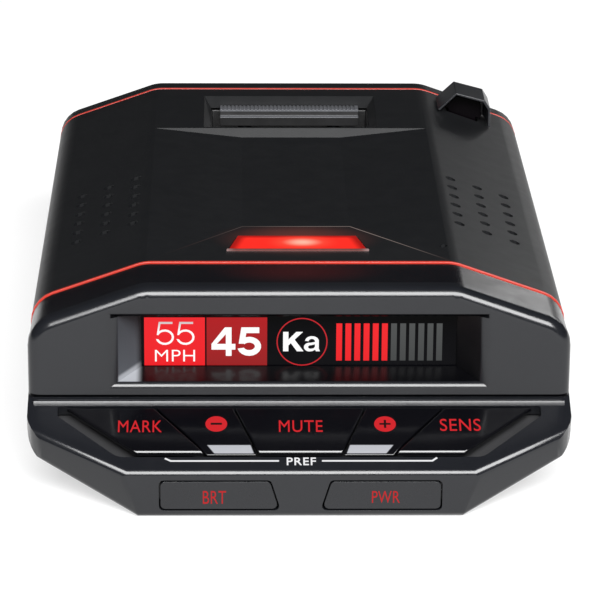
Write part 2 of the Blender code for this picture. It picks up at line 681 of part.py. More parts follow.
def make_mount_release_bar():
    """The ribbed bar that is pressed to free the bracket; its front ledge locks the blade."""
    ribs = 36
    half = BAR_HALF
    pitch = 2 * half / ribs
    front, back, ledge_z = 43.4, 47.2, 28.8
    profile = [(front, BAR_LOW_Z), (back, BAR_LOW_Z), (back, BAR_TOP_Z), (44.6, BAR_TOP_Z), (44.5, ledge_z),
               (front, ledge_z)]
    data = bmesh.new()
    add_loft(data, [along("X", profile, -half), along("X", profile, half)])
    bar = make_object("mount_release_bar", data, (0.0, 45.3, BAR_LOW_Z))
    starts = [-half + (i + 0.6) * pitch for i in range(ribs)]
    grooves = [((x, 44.2, BAR_TOP_Z - 0.15), (x + 0.4 * pitch, 47.5, BAR_TOP_Z + 1)) for x in starts[:-1]]
    cut(bar, boxes("rib_tool", grooves))
    return finish(bar, (0.12, 0.12, 0.13), 0.45)


def make_release_spring(name, x):
    """A coil spring under the release bar."""
    turns, sides, around = 3, 10, 5
    radius, wire = 1.1, 0.2
    low, high = POCKET_FLOOR_Z + GAP + wire, BAR_LOW_Z - GAP - wire
    rings = []
    for i in range(turns * sides + 1):
        turn = 2 * math.pi * i / sides
        outward = Vector((math.cos(turn), math.sin(turn), 0))
        centre = Vector((x, 45.3, low + (high - low) * i / (turns * sides))) + outward * radius
        spokes = [2 * math.pi * k / around for k in range(around)]
        rings.append([centre + outward * wire * math.cos(t) + Vector((0, 0, wire * math.sin(t)))
                      for t in spokes])
    return finish(loft(name, rings), (0.6, 0.6, 0.62), 0.3, 1.0)


# ---------------------------------------------------------------- inside

def make_main_board():
    outline = rectangle((-35.0, -40.0), (35.0, 50.0))
    board = prism("main_board", "Z", outline, *BOARD_Z)
    cut(board, rods("board_hole_tool", "Z", SCREW_PLACES, 1.7, BOARD_Z[0] - 1, BOARD_Z[1] + 1))
    return finish(board, (0.02, 0.10, 0.05), 0.4)


def make_radar_antenna():
    """Die-cast horn under the pocket, flared towards the windscreen."""
    throat = rectangle((-6.0, 15.6), (6.0, 21.0))
    mouth = rectangle((-15.0, 14.6), (15.0, 22.6))
    flare_y, mouth_y = 30.0, 52.0
    outside = ((throat, 22.0), (throat, flare_y), (mouth, mouth_y))
    horn = loft("radar_antenna", [along("Y", outline, y) for outline, y in outside])
    wall = 1.2
    tight, wide = moved_inward(throat, wall), moved_inward(mouth, wall)
    inside = ((tight, 24.0), (tight, flare_y), (wide, mouth_y + 1))
    cut(horn, loft("horn_tool", [along("Y", outline, y) for outline, y in inside]))
    return finish(horn, (0.7, 0.7, 0.72), 0.35, 1.0)


def make_speaker():
    """A flat round speaker under the left vents."""
    profile = [(7.0, 18.6), (7.0, 20.4), (9.6, 20.8), (9.6, 23.0), (8.6, 23.0), (3.0, 22.0)]
    return finish(turned("speaker", "Z", [SPEAKER_AT], profile, 20), (0.03, 0.03, 0.03), 0.5)


def make_power_jack():
    """Modular socket that opens through the right side."""
    near, far = POWER_Y
    base = BOARD_Z[1] + GAP
    jack = boxes("power_jack", [((27.0, near, base), (JACK_FACE_X, far, POWER_TOP_Z))])
    room = ((31.0, near + 1.2, base + 1.0), (SIDE_REACH[1], far - 1.2, POWER_TOP_Z - 1.1))
    cut(jack, boxes("socket_tool", [room]))
    return finish(jack, (0.02, 0.02, 0.02), 0.4)


def make_usb_jack():
    near, far = USB_Y
    base = BOARD_Z[1] + GAP
    jack = boxes("usb_jack", [((-JACK_FACE_X, near, base), (-33.0, far, USB_TOP_Z))])
    wall = 0.6
    room = ((-SIDE_REACH[1], near + wall, base + wall), (-35.0, far - wall, USB_TOP_Z - wall))
    cut(jack, boxes("usb_tool", [room]))
    return finish(jack, (0.7, 0.7, 0.7), 0.3, 1.0)


def make_earphone_jack():
    centre = (PHONES_AT[0], PHONES_AT[1] + GAP)
    jack = rods("earphone_jack", "X", [centre], PHONES_RADIUS, -JACK_FACE_X, -30.0, 14)
    cut(jack, rods("earphone_tool", "X", [centre], 1.75, -SIDE_REACH[1], -32.0, 14))
    return finish(jack, (0.02, 0.02, 0.02), 0.4)


def make_case_screws():
    profile = [(2.3, 1.0), (2.3, 2.6), (1.15, 2.6), (1.15, 21.0)]
    long, narrow, low, high = 1.4, 0.3, 0.5, 1.8
    for i, (x, y) in enumerate(SCREW_PLACES):
        name = f"case_screw_{i + 1}"
        screw = turned(name, "Z", [(x, y)], profile)
        for across, up in ((long, narrow), (narrow, long)):
            arm = boxes(f"{name}_recess_{across}", [((x - across, y - up, low), (x + across, y + up, high))])
            cut(screw, arm)
        finish(screw, (0.5, 0.5, 0.5), 0.35, 1.0)


def make_simple(name, low, high, colour, roughness, metallic=0.0):
    """A rectangular module with softened edges."""
    module = boxes(name, [(low, high)])
    edge = module.modifiers.new("soft_edges", "BEVEL")
    edge.width = 0.3 * MM
    edge.segments = 1
    return finish(module, colour, roughness, metallic)


def make_inside():
    make_main_board()
    make_radar_antenna()
    make_speaker()
    make_power_jack()
    make_usb_jack()
    make_earphone_jack()
    make_case_screws()
    front = TUNNEL_BACK_Y + 2 * GAP + 0.8
    make_simple("oled_display", (-26.5, front, 16.0), (26.5, front + 2.0, 27.6), (0.01, 0.01, 0.01), 0.1)
    make_simple("shield_can", (-14, -20, 14.2), (14, 12, 18.2), (0.7, 0.7, 0.7), 0.3, 1.0)
    make_simple("gps_antenna", (-34, 24, 14.2), (-18, 40, 18.2), (0.6, 0.55, 0.45), 0.4)
    make_simple("alert_lamp_leds", (-8, -35.0, 26.4), (8, -29.2, 27.6), (0.8, 0.8, 0.7), 0.3)
    make_simple("laser_sensor_front", (17.5, 60.0, 10.0), (24.0, 64.8, 16.0), (0.02, 0.02, 0.03), 0.1)
    make_simple("laser_sensor_rear", (28.6, 43.8, 22.4), (33.4, 46.8, 25.6), (0.02, 0.02, 0.03), 0.1)


def build():
    for thing in list(bpy.data.objects):
        bpy.data.objects.remove(thing)
    make_top_case()
    make_bottom_case()
    make_front_collar()
    make_stripe("front_pinstripe", CASE_FRONT_Y - GAP / 2 - STRIPE_WIDTH)
    make_stripe("rear_pinstripe", CASE_BACK_Y + GAP / 2)
    make_front_bezel()
    make_rear_bezel()
    make_rear_window()
    make_laser_hood()
    make_laser_hood_lens()
    make_alert_lamp_lens()
    make_display_window()
    outlines = key_outlines()
    for name, outline in outlines.items():
        make_key(name, outline)
    make_key_mat(outlines)
    make_key_board()
    make_dome_switches(outlines)
    make_button("button_brt", -1)
    make_button("button_pwr", 1)
    make_button_board()
    make_button_switches()
    make_mount_pocket()
    make_mount_release_bar()
    make_release_spring("release_spring_left", -8.0)
    make_release_spring("release_spring_right", 8.0)
    make_inside()


build()
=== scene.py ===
"""Looks of the radar detector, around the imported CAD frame. X right, +Y towards the windscreen, Z up."""
import math

import bmesh
import bpy
from mathutils import Matrix, Vector


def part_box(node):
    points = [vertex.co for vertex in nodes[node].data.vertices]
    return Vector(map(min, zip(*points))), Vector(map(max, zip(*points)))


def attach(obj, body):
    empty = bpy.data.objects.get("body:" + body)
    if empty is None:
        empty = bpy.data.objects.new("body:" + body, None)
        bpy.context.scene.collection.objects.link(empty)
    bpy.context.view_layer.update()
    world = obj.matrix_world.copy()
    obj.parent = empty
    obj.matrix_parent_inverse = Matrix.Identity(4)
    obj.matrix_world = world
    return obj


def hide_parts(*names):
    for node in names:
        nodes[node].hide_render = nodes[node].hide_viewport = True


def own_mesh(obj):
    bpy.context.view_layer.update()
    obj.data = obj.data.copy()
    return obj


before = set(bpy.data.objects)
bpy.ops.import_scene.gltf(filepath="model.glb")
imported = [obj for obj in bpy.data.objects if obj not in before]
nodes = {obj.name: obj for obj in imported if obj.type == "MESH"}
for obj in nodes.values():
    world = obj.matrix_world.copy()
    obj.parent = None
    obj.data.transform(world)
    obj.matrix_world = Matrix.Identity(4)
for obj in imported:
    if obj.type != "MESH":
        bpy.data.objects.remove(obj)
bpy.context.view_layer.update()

MM = 0.001

# Camera: pitch, yaw and roll in degrees, place in millimetres, lens for a 36 mm sensor
CAMERA_PITCH = 20.0
CAMERA_YAW = -1.277
CAMERA_ROLL = 0.434
CAMERA_AT = (-10.589, -529.104, 202.377)
CAMERA_LENS = 199.98

CHIN_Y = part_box("front_bezel")[0].y / MM
SHELF_ANGLE = math.radians(22.6)
KEY_FAR_REACH = 13.75                # how far up the shelf the keys go
SHELF_FRONT_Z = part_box("key_mute")[1].z / MM - KEY_FAR_REACH * math.sin(SHELF_ANGLE)
SCREEN_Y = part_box("display_window")[0].y / MM
FACE_Y = -54.8                       # display face
WINDOW_HALF = 28.2                   # display opening, measured just inside its rounded rim
WINDOW_Z = (15.6, 27.4)
RIM_HALF = 28.9                      # the same opening at its rim
EAVE_SHADE_Z = (26.7, 27.62)               # painted shade on the rim's underside, above the screen
GROOVE_Z = (13.78, 14.32)            # fine groove above the bead, painted dark as shade
LAMP_LOW, LAMP_HIGH = (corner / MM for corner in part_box("alert_lamp_lens"))
LAMP_MIDDLE = (LAMP_LOW + LAMP_HIGH) / 2
LAMP_FRONT_HALF = LAMP_HIGH.x
LAMP_BACK_HALF = 9.4
CREASE_BACK = (8.6, -21.6)           # corners of the valley's front facet, in X and Y
CREASE_FRONT = (24.0, -42.4)
FACET_DROP = 1.3                     # from the facet's front edge to its back edge
FACET_SLOPE = math.atan2(FACET_DROP, CREASE_BACK[1] - CREASE_FRONT[1])
KEY_SIDE_SLANTS = (0.374, 0.803)     # how far the narrow keys' sides lean per millimetre up the shelf
KEY_HIGHLIGHT_EDGES = (6.95, 7.1, 12.9, 13.05)   # where the chamfer's painted highlight starts and ends, each with its soft edge, in X
COIL_X = 8.0
COIL_Y = 45.3
COIL_Z = (25.32, 27.18)              # from the pocket's floor to the release bar
INK = 0.03                           # thickness of printing and of the screen's lit areas


def add_camera():
    pitch, yaw, roll = (math.radians(a) for a in (CAMERA_PITCH, CAMERA_YAW, CAMERA_ROLL))
    forward = Vector((-math.sin(yaw) * math.cos(pitch), math.cos(yaw) * math.cos(pitch), -math.sin(pitch)))
    right = Vector((math.cos(yaw), math.sin(yaw), 0.0))
    up = right.cross(forward)
    turned_right = right * math.cos(roll) + up * math.sin(roll)
    turned_up = up * math.cos(roll) - right * math.sin(roll)
    data = bpy.data.cameras.new("camera")
    data.lens = CAMERA_LENS
    data.sensor_width = 36.0
    data.clip_start = 0.01
    data.clip_end = 10.0
    camera = bpy.data.objects.new("camera", data)
    turn = Matrix((turned_right, turned_up, -forward)).transposed()
    camera.matrix_world = Matrix.Translation(Vector(CAMERA_AT) * MM) @ turn.to_4x4()
    bpy.context.scene.collection.objects.link(camera)
    bpy.context.scene.camera = camera


# ---------------------------------------------------------------- shader building blocks

def srgb(red, green, blue):
    """A colour given as it shows on a screen, 0 to 255, in linear light."""
    def linear(value):
        value /= 255
        return value / 12.92 if value <= 0.04045 else ((value + 0.055) / 1.055) ** 2.4
    return (linear(red), linear(green), linear(blue))


def new_material(name, colour, roughness, metallic=0.0):
    material = bpy.data.materials.new(name)
    material.use_nodes = True
    shader = material.node_tree.nodes["Principled BSDF"]
    shader.inputs["Base Color"].default_value = (*colour, 1.0)
    shader.inputs["Roughness"].default_value = roughness
    shader.inputs["Metallic"].default_value = metallic
    return material, shader


def place(material):
    """The object's own coordinates, in millimetres."""
    tree = material.node_tree
    coordinates = tree.nodes.new("ShaderNodeTexCoord")
    scale = tree.nodes.new("ShaderNodeVectorMath")
    scale.operation = "SCALE"
    scale.inputs["Scale"].default_value = 1 / MM
    tree.links.new(coordinates.outputs["Object"], scale.inputs[0])
    return scale.outputs["Vector"]


def axes(material):
    tree = material.node_tree
    split = tree.nodes.new("ShaderNodeSeparateXYZ")
    tree.links.new(place(material), split.inputs["Vector"])
    return split.outputs["X"], split.outputs["Y"], split.outputs["Z"]


def calculate(material, operation, first, second=0.0):
    """One arithmetic step; each value is a socket or a number."""
    node = material.node_tree.nodes.new("ShaderNodeMath")
    node.operation = operation
    for socket, value in zip(node.inputs, (first, second)):
        if isinstance(value, (int, float)):
            socket.default_value = value
        else:
            material.node_tree.links.new(value, socket)
    return node.outputs["Value"]


def multiply(material, first, *others):
    for other in others:
        first = calculate(material, "MULTIPLY", first, other)
    return first


def noise(material, scale, detail=4.0):
    """A noise texture; scale is in features per millimetre."""
    texture = material.node_tree.nodes.new("ShaderNodeTexNoise")
    texture.inputs["Scale"].default_value = scale
    texture.inputs["Detail"].default_value = detail
    texture.inputs["Roughness"].default_value = 0.6
    material.node_tree.links.new(place(material), texture.inputs["Vector"])
    return texture.outputs["Fac"]


def stretched_noise(material, scale, stretch):
    """Noise drawn out along some axes, for brushed or rolled metal."""
    tree = material.node_tree
    mapping = tree.nodes.new("ShaderNodeMapping")
    mapping.inputs["Scale"].default_value = stretch
    texture = tree.nodes.new("ShaderNodeTexNoise")
    texture.inputs["Scale"].default_value = scale
    tree.links.new(place(material), mapping.inputs["Vector"])
    tree.links.new(mapping.outputs["Vector"], texture.inputs["Vector"])
    return texture.outputs["Fac"]


def remap(material, value, low, high, start=0.3, end=0.7, smooth=False):
    """The value, stretched from start..end to low..high."""
    node = material.node_tree.nodes.new("ShaderNodeMapRange")
    node.interpolation_type = "SMOOTHSTEP" if smooth else "LINEAR"
    node.inputs["From Min"].default_value = start
    node.inputs["From Max"].default_value = end
    node.inputs["To Min"].default_value = low
    node.inputs["To Max"].default_value = high
    material.node_tree.links.new(value, node.inputs["Value"])
    return node.outputs["Result"]


def band(material, value, low, high, soft):
    """1 between low and high, 0 outside, with soft edges."""
    rise = remap(material, value, 0.0, 1.0, low - soft, low + soft, True)
    fall = remap(material, value, 1.0, 0.0, high - soft, high + soft, True)
    return multiply(material, rise, fall)


def falloff(material, centre, reach, flat_to=0.0):
    """1 at a point, down to 0 over the given reach along each axis; flat up to a share of that reach."""
    tree = material.node_tree
    offset = tree.nodes.new("ShaderNodeVectorMath")
    offset.operation = "SUBTRACT"
    offset.inputs[1].default_value = centre
    scaled = tree.nodes.new("ShaderNodeVectorMath")
    scaled.operation = "DIVIDE"
    scaled.inputs[1].default_value = reach
    length = tree.nodes.new("ShaderNodeVectorMath")
    length.operation = "LENGTH"
    tree.links.new(place(material), offset.inputs[0])
    tree.links.new(offset.outputs["Vector"], scaled.inputs[0])
    tree.links.new(scaled.outputs["Vector"], length.inputs[0])
    return remap(material, length.outputs["Value"], 1.0, 0.0, flat_to, 1.0, True)


def blend_colours(material, value, first, second):
    """Mixes two colours, each a colour or a socket, by a value."""
    node = material.node_tree.nodes.new("ShaderNodeMix")
    node.data_type = "RGBA"
    for socket, colour in ((node.inputs["A"], first), (node.inputs["B"], second)):
        if isinstance(colour, tuple):
            socket.default_value = (*colour, 1.0)
        else:
            material.node_tree.links.new(colour, socket)
    material.node_tree.links.new(value, node.inputs["Factor"])
    return node.outputs["Result"]


def add_bump(material, shader, value, strength, depth_mm):
    node = material.node_tree.nodes.new("ShaderNodeBump")
    node.inputs["Strength"].default_value = strength
    node.inputs["Distance"].default_value = depth_mm * MM
    material.node_tree.links.new(value, node.inputs["Height"])
    material.node_tree.links.new(node.outputs["Normal"], shader.inputs["Normal"])


def set_colour(material, shader, socket, name="Base Color"):
    material.node_tree.links.new(socket, shader.inputs[name])


def moulded(name, dark, light, roughness, grain=2.2, depth=0.02, spread=0.06, specular=0.5):
    """Moulded plastic: spark-eroded grain, and slow changes of tone and of gloss."""
    material, shader = new_material(name, dark, roughness)
    slow = noise(material, 0.06, 3.0)
    tone = blend_colours(material, remap(material, slow, 0.0, 1.0), dark, light)
    set_colour(material, shader, tone)
    rough = remap(material, noise(material, 0.35, 5.0), roughness - spread / 2, roughness + spread / 2)
    set_colour(material, shader, rough, "Roughness")
    add_bump(material, shader, noise(material, grain, 2.0), 0.35, depth)
    shader.inputs["Specular IOR Level"].default_value = specular
    return material, shader, tone, rough


def metal(name, dark, light, roughness, stretch=(1.0, 1.0, 1.0), scale=1.5, depth=0.004):
    material, shader = new_material(name, light, roughness, 1.0)
    lines = stretched_noise(material, scale, stretch)
    set_colour(material, shader, blend_colours(material, remap(material, lines, 0.0, 1.0), dark, light))
    set_colour(material, shader, remap(material, lines, roughness - 0.08, roughness + 0.1), "Roughness")
    add_bump(material, shader, lines, 0.4, depth)
    return material


# ---------------------------------------------------------------- materials

def painted_crease_highlights(material, x, y):
    """Painted highlights on the creases beside and behind the lamp, fading with distance and towards the
    left.
    """
    from_middle = calculate(material, "ABSOLUTE", x)
    across = Vector(CREASE_FRONT) - Vector(CREASE_BACK)
    normal = Vector((-across.y, across.x)).normalized()
    sideways = calculate(material, "SUBTRACT", from_middle, CREASE_BACK[0])
    forward = calculate(material, "SUBTRACT", y, CREASE_BACK[1])
    slanted = calculate(material, "ADD", multiply(material, sideways, normal.x),
                        multiply(material, forward, normal.y))
    side_half, back_half, soft = 0.09, 0.1, 0.05
    side_highlight = multiply(material, band(material, slanted, -side_half, side_half, soft),
                         band(material, y, -45.0, CREASE_BACK[1], soft))
    back_x, back_y = CREASE_BACK
    back_highlight = multiply(material, band(material, y, back_y - back_half, back_y + back_half, soft),
                         band(material, from_middle, -1.0, back_x, soft))
    fade = falloff(material, (3.0, LAMP_MIDDLE.y, LAMP_HIGH.z), (26.0, 26.0, 20.0), 0.1)
    lines = multiply(material, calculate(material, "ADD", side_highlight, back_highlight), fade)
    return multiply(material, lines, remap(material, x, 0.2, 0.6, -12.0, 8.0))


def shell_plastic(name, lamp_side=False):
    """Satin black shell; around the lamp a red glow is painted on it, and painted highlights lie on the
    facet's edges.
    """
    material, shader = moulded(name, srgb(6, 7, 9), srgb(8, 9, 11), 0.46, 2.2, 0.008, 0.04, 0.42)[:2]
    if not lamp_side:
        return material
    x, y = axes(material)[:2]
    # painted light: the lamp's red glow on the facet and the tan crease highlights, both as emission
    facet = band(material, y, -60.0, CREASE_BACK[1], 0.1)
    glow = falloff(material, (0.0, LAMP_HIGH.y - 1.0, LAMP_HIGH.z), (14.5, 11.0, 6.0), 0.1)
    shade = multiply(material, facet, glow, 0.2)
    lines = painted_crease_highlights(material, x, y)
    on_highlight = remap(material, lines, 0.0, 1.0, 0.0, 0.1)
    tint = blend_colours(material, on_highlight, srgb(186, 92, 76), srgb(196, 176, 168))
    set_colour(material, shader, tint, "Emission Color")
    set_colour(material, shader, calculate(material, "ADD", shade, lines), "Emission Strength")
    return material


def tunnel_wall(material, x, y, z):
    """Tone inside the display tunnel: near black, with painted light on the left wall that fades upwards
    and a brighter painted highlight on the bevel at its foot.
    """
    # painted light on the left wall, brightest on the bevel at its foot, fading towards the top
    left = remap(material, x, 1.0, 0.0, -25.2, -23.9, True)
    share = remap(material, y, 0.0, 1.0, FACE_Y, SCREEN_Y)
    foot_height = calculate(material, "SUBTRACT", z, multiply(material, share, 1.6))
    foot = remap(material, foot_height, 1.0, 0.0, 16.4, 17.1, True)
    grey = remap(material, z, 1.0, 0.45, 17.0, 27.0)
    left_wall_light = blend_colours(material, foot, srgb(56, 58, 62), srgb(112, 114, 118))
    left_wall_light = blend_colours(material, grey, srgb(10, 10, 12), left_wall_light)
    return blend_colours(material, left, srgb(2, 2, 3), left_wall_light)


def bezel_plastic():
    """Graphite bezel with a matt black tunnel, painted light on its left wall, and two fine lines of
    painted shade.
    """
    material, shader, tone, rough = moulded("bezel_plastic", srgb(14, 15, 18), srgb(17, 18, 21), 0.22, 3.0,
                                            0.006, 0.05, 0.42)
    x, y, z = axes(material)
    behind_screen, soft = -50.0, 0.12
    tunnel = multiply(material, band(material, x, -WINDOW_HALF, WINDOW_HALF, soft),
                      band(material, z, *WINDOW_Z, soft),
                      band(material, y, FACE_Y + 0.7, behind_screen, soft))
    # painted shade: near black without reflection under the rim above the screen and in the groove above
    # the bead
    eave_shade = multiply(material, band(material, x, -RIM_HALF, RIM_HALF, 0.1), band(material, z, *EAVE_SHADE_Z, 0.04),
                    band(material, y, FACE_Y + 0.08, behind_screen, 0.03))
    groove = multiply(material, band(material, z, *GROOVE_Z, 0.03),
                      band(material, y, FACE_Y + 0.04, FACE_Y + 0.8, 0.03))
    black = calculate(material, "MAXIMUM", groove, eave_shade)
    face = blend_colours(material, black, tone, srgb(1, 1, 2))
    set_colour(material, shader, blend_colours(material, tunnel, face, tunnel_wall(material, x, y, z)))
    matt = remap(material, tunnel, 0.0, 0.02, 0.0, 1.0)
    set_colour(material, shader, calculate(material, "ADD", rough, matt), "Roughness")
    set_colour(material, shader, remap(material, black, 0.42, 0.03, 0.0, 1.0), "Specular IOR Level")
    return material


def collar_plastic():
    """Gloss black band, with the lamp's glow painted on it."""
    material, shader = moulded("collar_plastic", srgb(6, 6, 9), srgb(9, 9, 12), 0.24, 3.0, 0.006)[:2]
    # painted light: a faint red glow from the lamp, as emission
    glow = falloff(material, (0.0, -46.5, 31.0), (15.0, 6.5, 5.0), 0.1)
    shader.inputs["Emission Color"].default_value = (*srgb(150, 40, 30), 1.0)
    set_colour(material, shader, multiply(material, glow, 0.09), "Emission Strength")
    return material


def key_plastic(name, chamfer=None):
    """Gloss black key; the narrow keys have a painted highlight, a silver strip, on their chamfer between
    two reaches up the shelf.
    """
    material, shader, tone = moulded(name, srgb(4, 4, 6), srgb(6, 6, 8), 0.12, 3.0, 0.002, 0.03)[:3]
    if chamfer:
        x, y, z = axes(material)
        flat = multiply(material, calculate(material, "SUBTRACT", y, CHIN_Y), math.cos(SHELF_ANGLE))
        rise = multiply(material, calculate(material, "SUBTRACT", z, SHELF_FRONT_Z), math.sin(SHELF_ANGLE))
        reach = calculate(material, "ADD", flat, rise)
        up = calculate(material, "SUBTRACT", reach, chamfer[0])
        beside = calculate(material, "ABSOLUTE", x)
        near_slant, far_slant = KEY_SIDE_SLANTS
        inner = calculate(material, "SUBTRACT", beside, multiply(material, up, near_slant))
        outer = calculate(material, "SUBTRACT", beside, multiply(material, up, far_slant))
        between = multiply(material, remap(material, inner, 0.0, 1.0, *KEY_HIGHLIGHT_EDGES[:2]),
                           remap(material, outer, 1.0, 0.0, *KEY_HIGHLIGHT_EDGES[2:]))
        # painted highlight: the light's reflection on the chamfer, as a silver strip
        chamfer_highlight = multiply(material, band(material, reach, *chamfer, 0.06), between)
        set_colour(material, shader, blend_colours(material, chamfer_highlight, tone, srgb(110, 111, 115)))
        set_colour(material, shader, remap(material, chamfer_highlight, 0.12, 0.3, 0.0, 1.0), "Roughness")
    return material


def bar_plastic():
    """Ribbed bar: its top painted light grey and the rest near black, as painted light and shade, with a
    painted highlight along a ledge line.
    """
    material, shader, tone = moulded("bar_plastic", srgb(54, 55, 58), srgb(66, 67, 71), 0.45, 2.5, 0.01)[:3]
    z = axes(material)[2]
    # painted light on the top, painted highlight on the ledge line, painted shade everywhere else
    top = remap(material, z, 0.0, 1.0, 29.45, 29.6, True)
    ledge = band(material, z, 28.72, 28.84, 0.04)
    light = calculate(material, "ADD", top, ledge)
    set_colour(material, shader, blend_colours(material, light, srgb(5, 5, 6), tone))
    return material


def trim_red():
    material, shader = moulded("trim_red", srgb(120, 28, 20), srgb(130, 32, 23), 0.34, 3.0, 0.004)[:2]
    # painted light: the stripe glows faintly salmon red, so it stays bright
    shader.inputs["Emission Color"].default_value = (*srgb(226, 74, 58), 1.0)
    shader.inputs["Emission Strength"].default_value = 0.3
    return material


def lamp_red():
    """Translucent red lens, lit from behind: salmon-white over the LEDs, dark red at its sides and rear."""
    material, shader = new_material("lamp_red", srgb(120, 10, 6), 0.22)
    shader.inputs["Specular IOR Level"].default_value = 0.3
    x, y = axes(material)[:2]
    middle = (0.8, LAMP_MIDDLE.y, LAMP_HIGH.z)
    core = falloff(material, middle, (6.4, 5.0, 4.0))
    heart = falloff(material, middle, (3.6, 2.8, 4.0))
    taper = (LAMP_FRONT_HALF - LAMP_BACK_HALF) / (LAMP_HIGH.y - LAMP_LOW.y)
    lost = multiply(material, calculate(material, "SUBTRACT", y, LAMP_LOW.y), taper)
    to_side = calculate(material, "SUBTRACT", calculate(material, "SUBTRACT", LAMP_FRONT_HALF, lost),
                        calculate(material, "ABSOLUTE", x))
    sides = remap(material, to_side, 0.0, 1.0, 0.3, 1.9, True)
    rear = remap(material, y, 1.0, 0.0, LAMP_HIGH.y - 2.0, LAMP_HIGH.y - 0.2, True)
    red = blend_colours(material, multiply(material, sides, rear), srgb(84, 10, 9), srgb(226, 42, 32))
    warm = blend_colours(material, core, red, srgb(244, 92, 70))
    hot = blend_colours(material, heart, warm, srgb(254, 196, 172))
    set_colour(material, shader, hot, "Emission Color")
    set_colour(material, shader, remap(material, noise(material, 0.8, 3.0), 0.9, 0.97), "Emission Strength")
    return material


def lamp_edge_highlight():
    """Painted highlight on the lens's front edge, whitest at its two ends."""
    material, shader = new_material("lamp_edge_highlight", srgb(60, 30, 28), 0.3)
    x = axes(material)[0]
    end = remap(material, calculate(material, "ABSOLUTE", x), 0.0, 1.0, 9.6, 11.3, True)
    uneven = remap(material, noise(material, 0.6, 3.0), 0.2, 0.34)
    tint = blend_colours(material, end, srgb(150, 84, 76), srgb(226, 206, 204))
    set_colour(material, shader, tint, "Emission Color")
    set_colour(material, shader, uneven, "Emission Strength")
    return material


def dark_glass(name, colour, roughness=0.06):
    """Gloss filter with an anti-glare coat and faint smears."""
    material, shader = new_material(name, colour, roughness)
    shader.inputs["Specular IOR Level"].default_value = 0.04
    smear = remap(material, noise(material, 0.12, 6.0), roughness - 0.02, roughness + 0.06)
    set_colour(material, shader, smear, "Roughness")
    lighter = tuple(c * 1.6 + 0.001 for c in colour)
    cloudy = remap(material, noise(material, 0.05), 0.0, 1.0)
    set_colour(material, shader, blend_colours(material, cloudy, colour, lighter))
    return material


def circuit_board():
    """Green solder mask over traces, with tinned pads."""
    material, shader = new_material("circuit_board", srgb(12, 62, 34), 0.35)
    tree = material.node_tree
    traces = tree.nodes.new("ShaderNodeTexBrick")
    traces.inputs["Scale"].default_value = 0.35
    traces.inputs["Mortar Size"].default_value = 0.06
    traces.inputs["Color1"].default_value = (*srgb(10, 56, 30), 1.0)
    traces.inputs["Color2"].default_value = (*srgb(14, 68, 38), 1.0)
    traces.inputs["Mortar"].default_value = (*srgb(30, 104, 60), 1.0)
    pads = tree.nodes.new("ShaderNodeTexVoronoi")
    pads.inputs["Scale"].default_value = 0.45
    pads.inputs["Randomness"].default_value = 0.35
    tree.links.new(place(material), traces.inputs["Vector"])
    tree.links.new(place(material), pads.inputs["Vector"])
    pad = remap(material, pads.outputs["Distance"], 1.0, 0.0, 0.16, 0.2)
    set_colour(material, shader, blend_colours(material, pad, traces.outputs["Color"], srgb(196, 190, 172)))
    set_colour(material, shader, pad, "Metallic")
    add_bump(material, shader, traces.outputs["Fac"], 0.3, 0.02)
    return material


def ceramic():
    material, shader = new_material("ceramic", srgb(196, 184, 150), 0.4)
    speckle = remap(material, noise(material, 1.2, 6.0), 0.0, 1.0, 0.45, 0.6)
    set_colour(material, shader, blend_colours(material, speckle, srgb(178, 164, 130), srgb(205, 194, 162)))
    return material


def led_package():
    material, shader = new_material("led_package", srgb(235, 228, 190), 0.35)
    x = axes(material)[0]
    cell = calculate(material, "PINGPONG", x, 2.0)
    die = remap(material, cell, 1.0, 0.0, 0.5, 0.8)
    set_colour(material, shader, blend_colours(material, die, srgb(235, 228, 200), srgb(225, 70, 40)))
    return material


def printing(name, colour, shine=0.45):
    """Opaque screen-printing ink, a little uneven; its colour is print, and a painted glow makes it read
    the same in any light.
    """
    material, shader = new_material(name, tuple(c * 0.05 for c in colour), 0.5)
    shader.inputs["Specular IOR Level"].default_value = 0.15
    patchy = remap(material, noise(material, 2.5, 3.0), 0.93, 1.0)
    dim = tuple(c * 0.9 for c in colour)
    set_colour(material, shader, blend_colours(material, patchy, dim, colour), "Emission Color")
    # painted light: the ink glows at this strength though it is no lamp
    shader.inputs["Emission Strength"].default_value = shine
    return material


def lit(name, low_colour, high_colour, low_z, high_z):
    """A lit area of the screen: a gradient up the screen, with the display's fine pixel rows."""
    material, shader = new_material(name, tuple(c * 0.02 for c in low_colour), 0.25)
    shader.inputs["Specular IOR Level"].default_value = 0.1
    z = axes(material)[2]
    rise = remap(material, z, 0.0, 1.0, low_z, high_z)
    rows = remap(material, calculate(material, "PINGPONG", z, 0.06), 0.95, 1.0, 0.0, 0.06)
    set_colour(material, shader, blend_colours(material, rise, low_colour, high_colour), "Emission Color")
    set_colour(material, shader, rows, "Emission Strength")
    return material


SHELL = shell_plastic("shell_plastic")
LIT_SHELL = shell_plastic("shell_plastic_at_lamp", True)
BEZEL = bezel_plastic()
COLLAR = collar_plastic()
KEY = key_plastic("key_plastic")
NARROW_KEY = key_plastic("narrow_key_plastic", (4.45, 5.8))
TRIM = trim_red()
LAMP = lamp_red()
LAMP_EDGE_HIGHLIGHT = lamp_edge_highlight()
BUTTON = moulded("button_plastic", srgb(12, 13, 16), srgb(15, 16, 19), 0.28, 3.0, 0.006, specular=0.42)[0]
HOOD = moulded("hood_plastic", srgb(20, 21, 23), srgb(24, 25, 28), 0.30, 3.0, 0.006)[0]
BAR = bar_plastic()
BLACK = moulded("part_black", srgb(5, 5, 6), srgb(8, 8, 9), 0.5, 1.5, 0.02)[0]
SILICONE = moulded("silicone", srgb(14, 14, 16), srgb(22, 22, 24), 0.6, 1.2, 0.03)[0]
GLASS = dark_glass("display_glass", srgb(1, 1, 2))
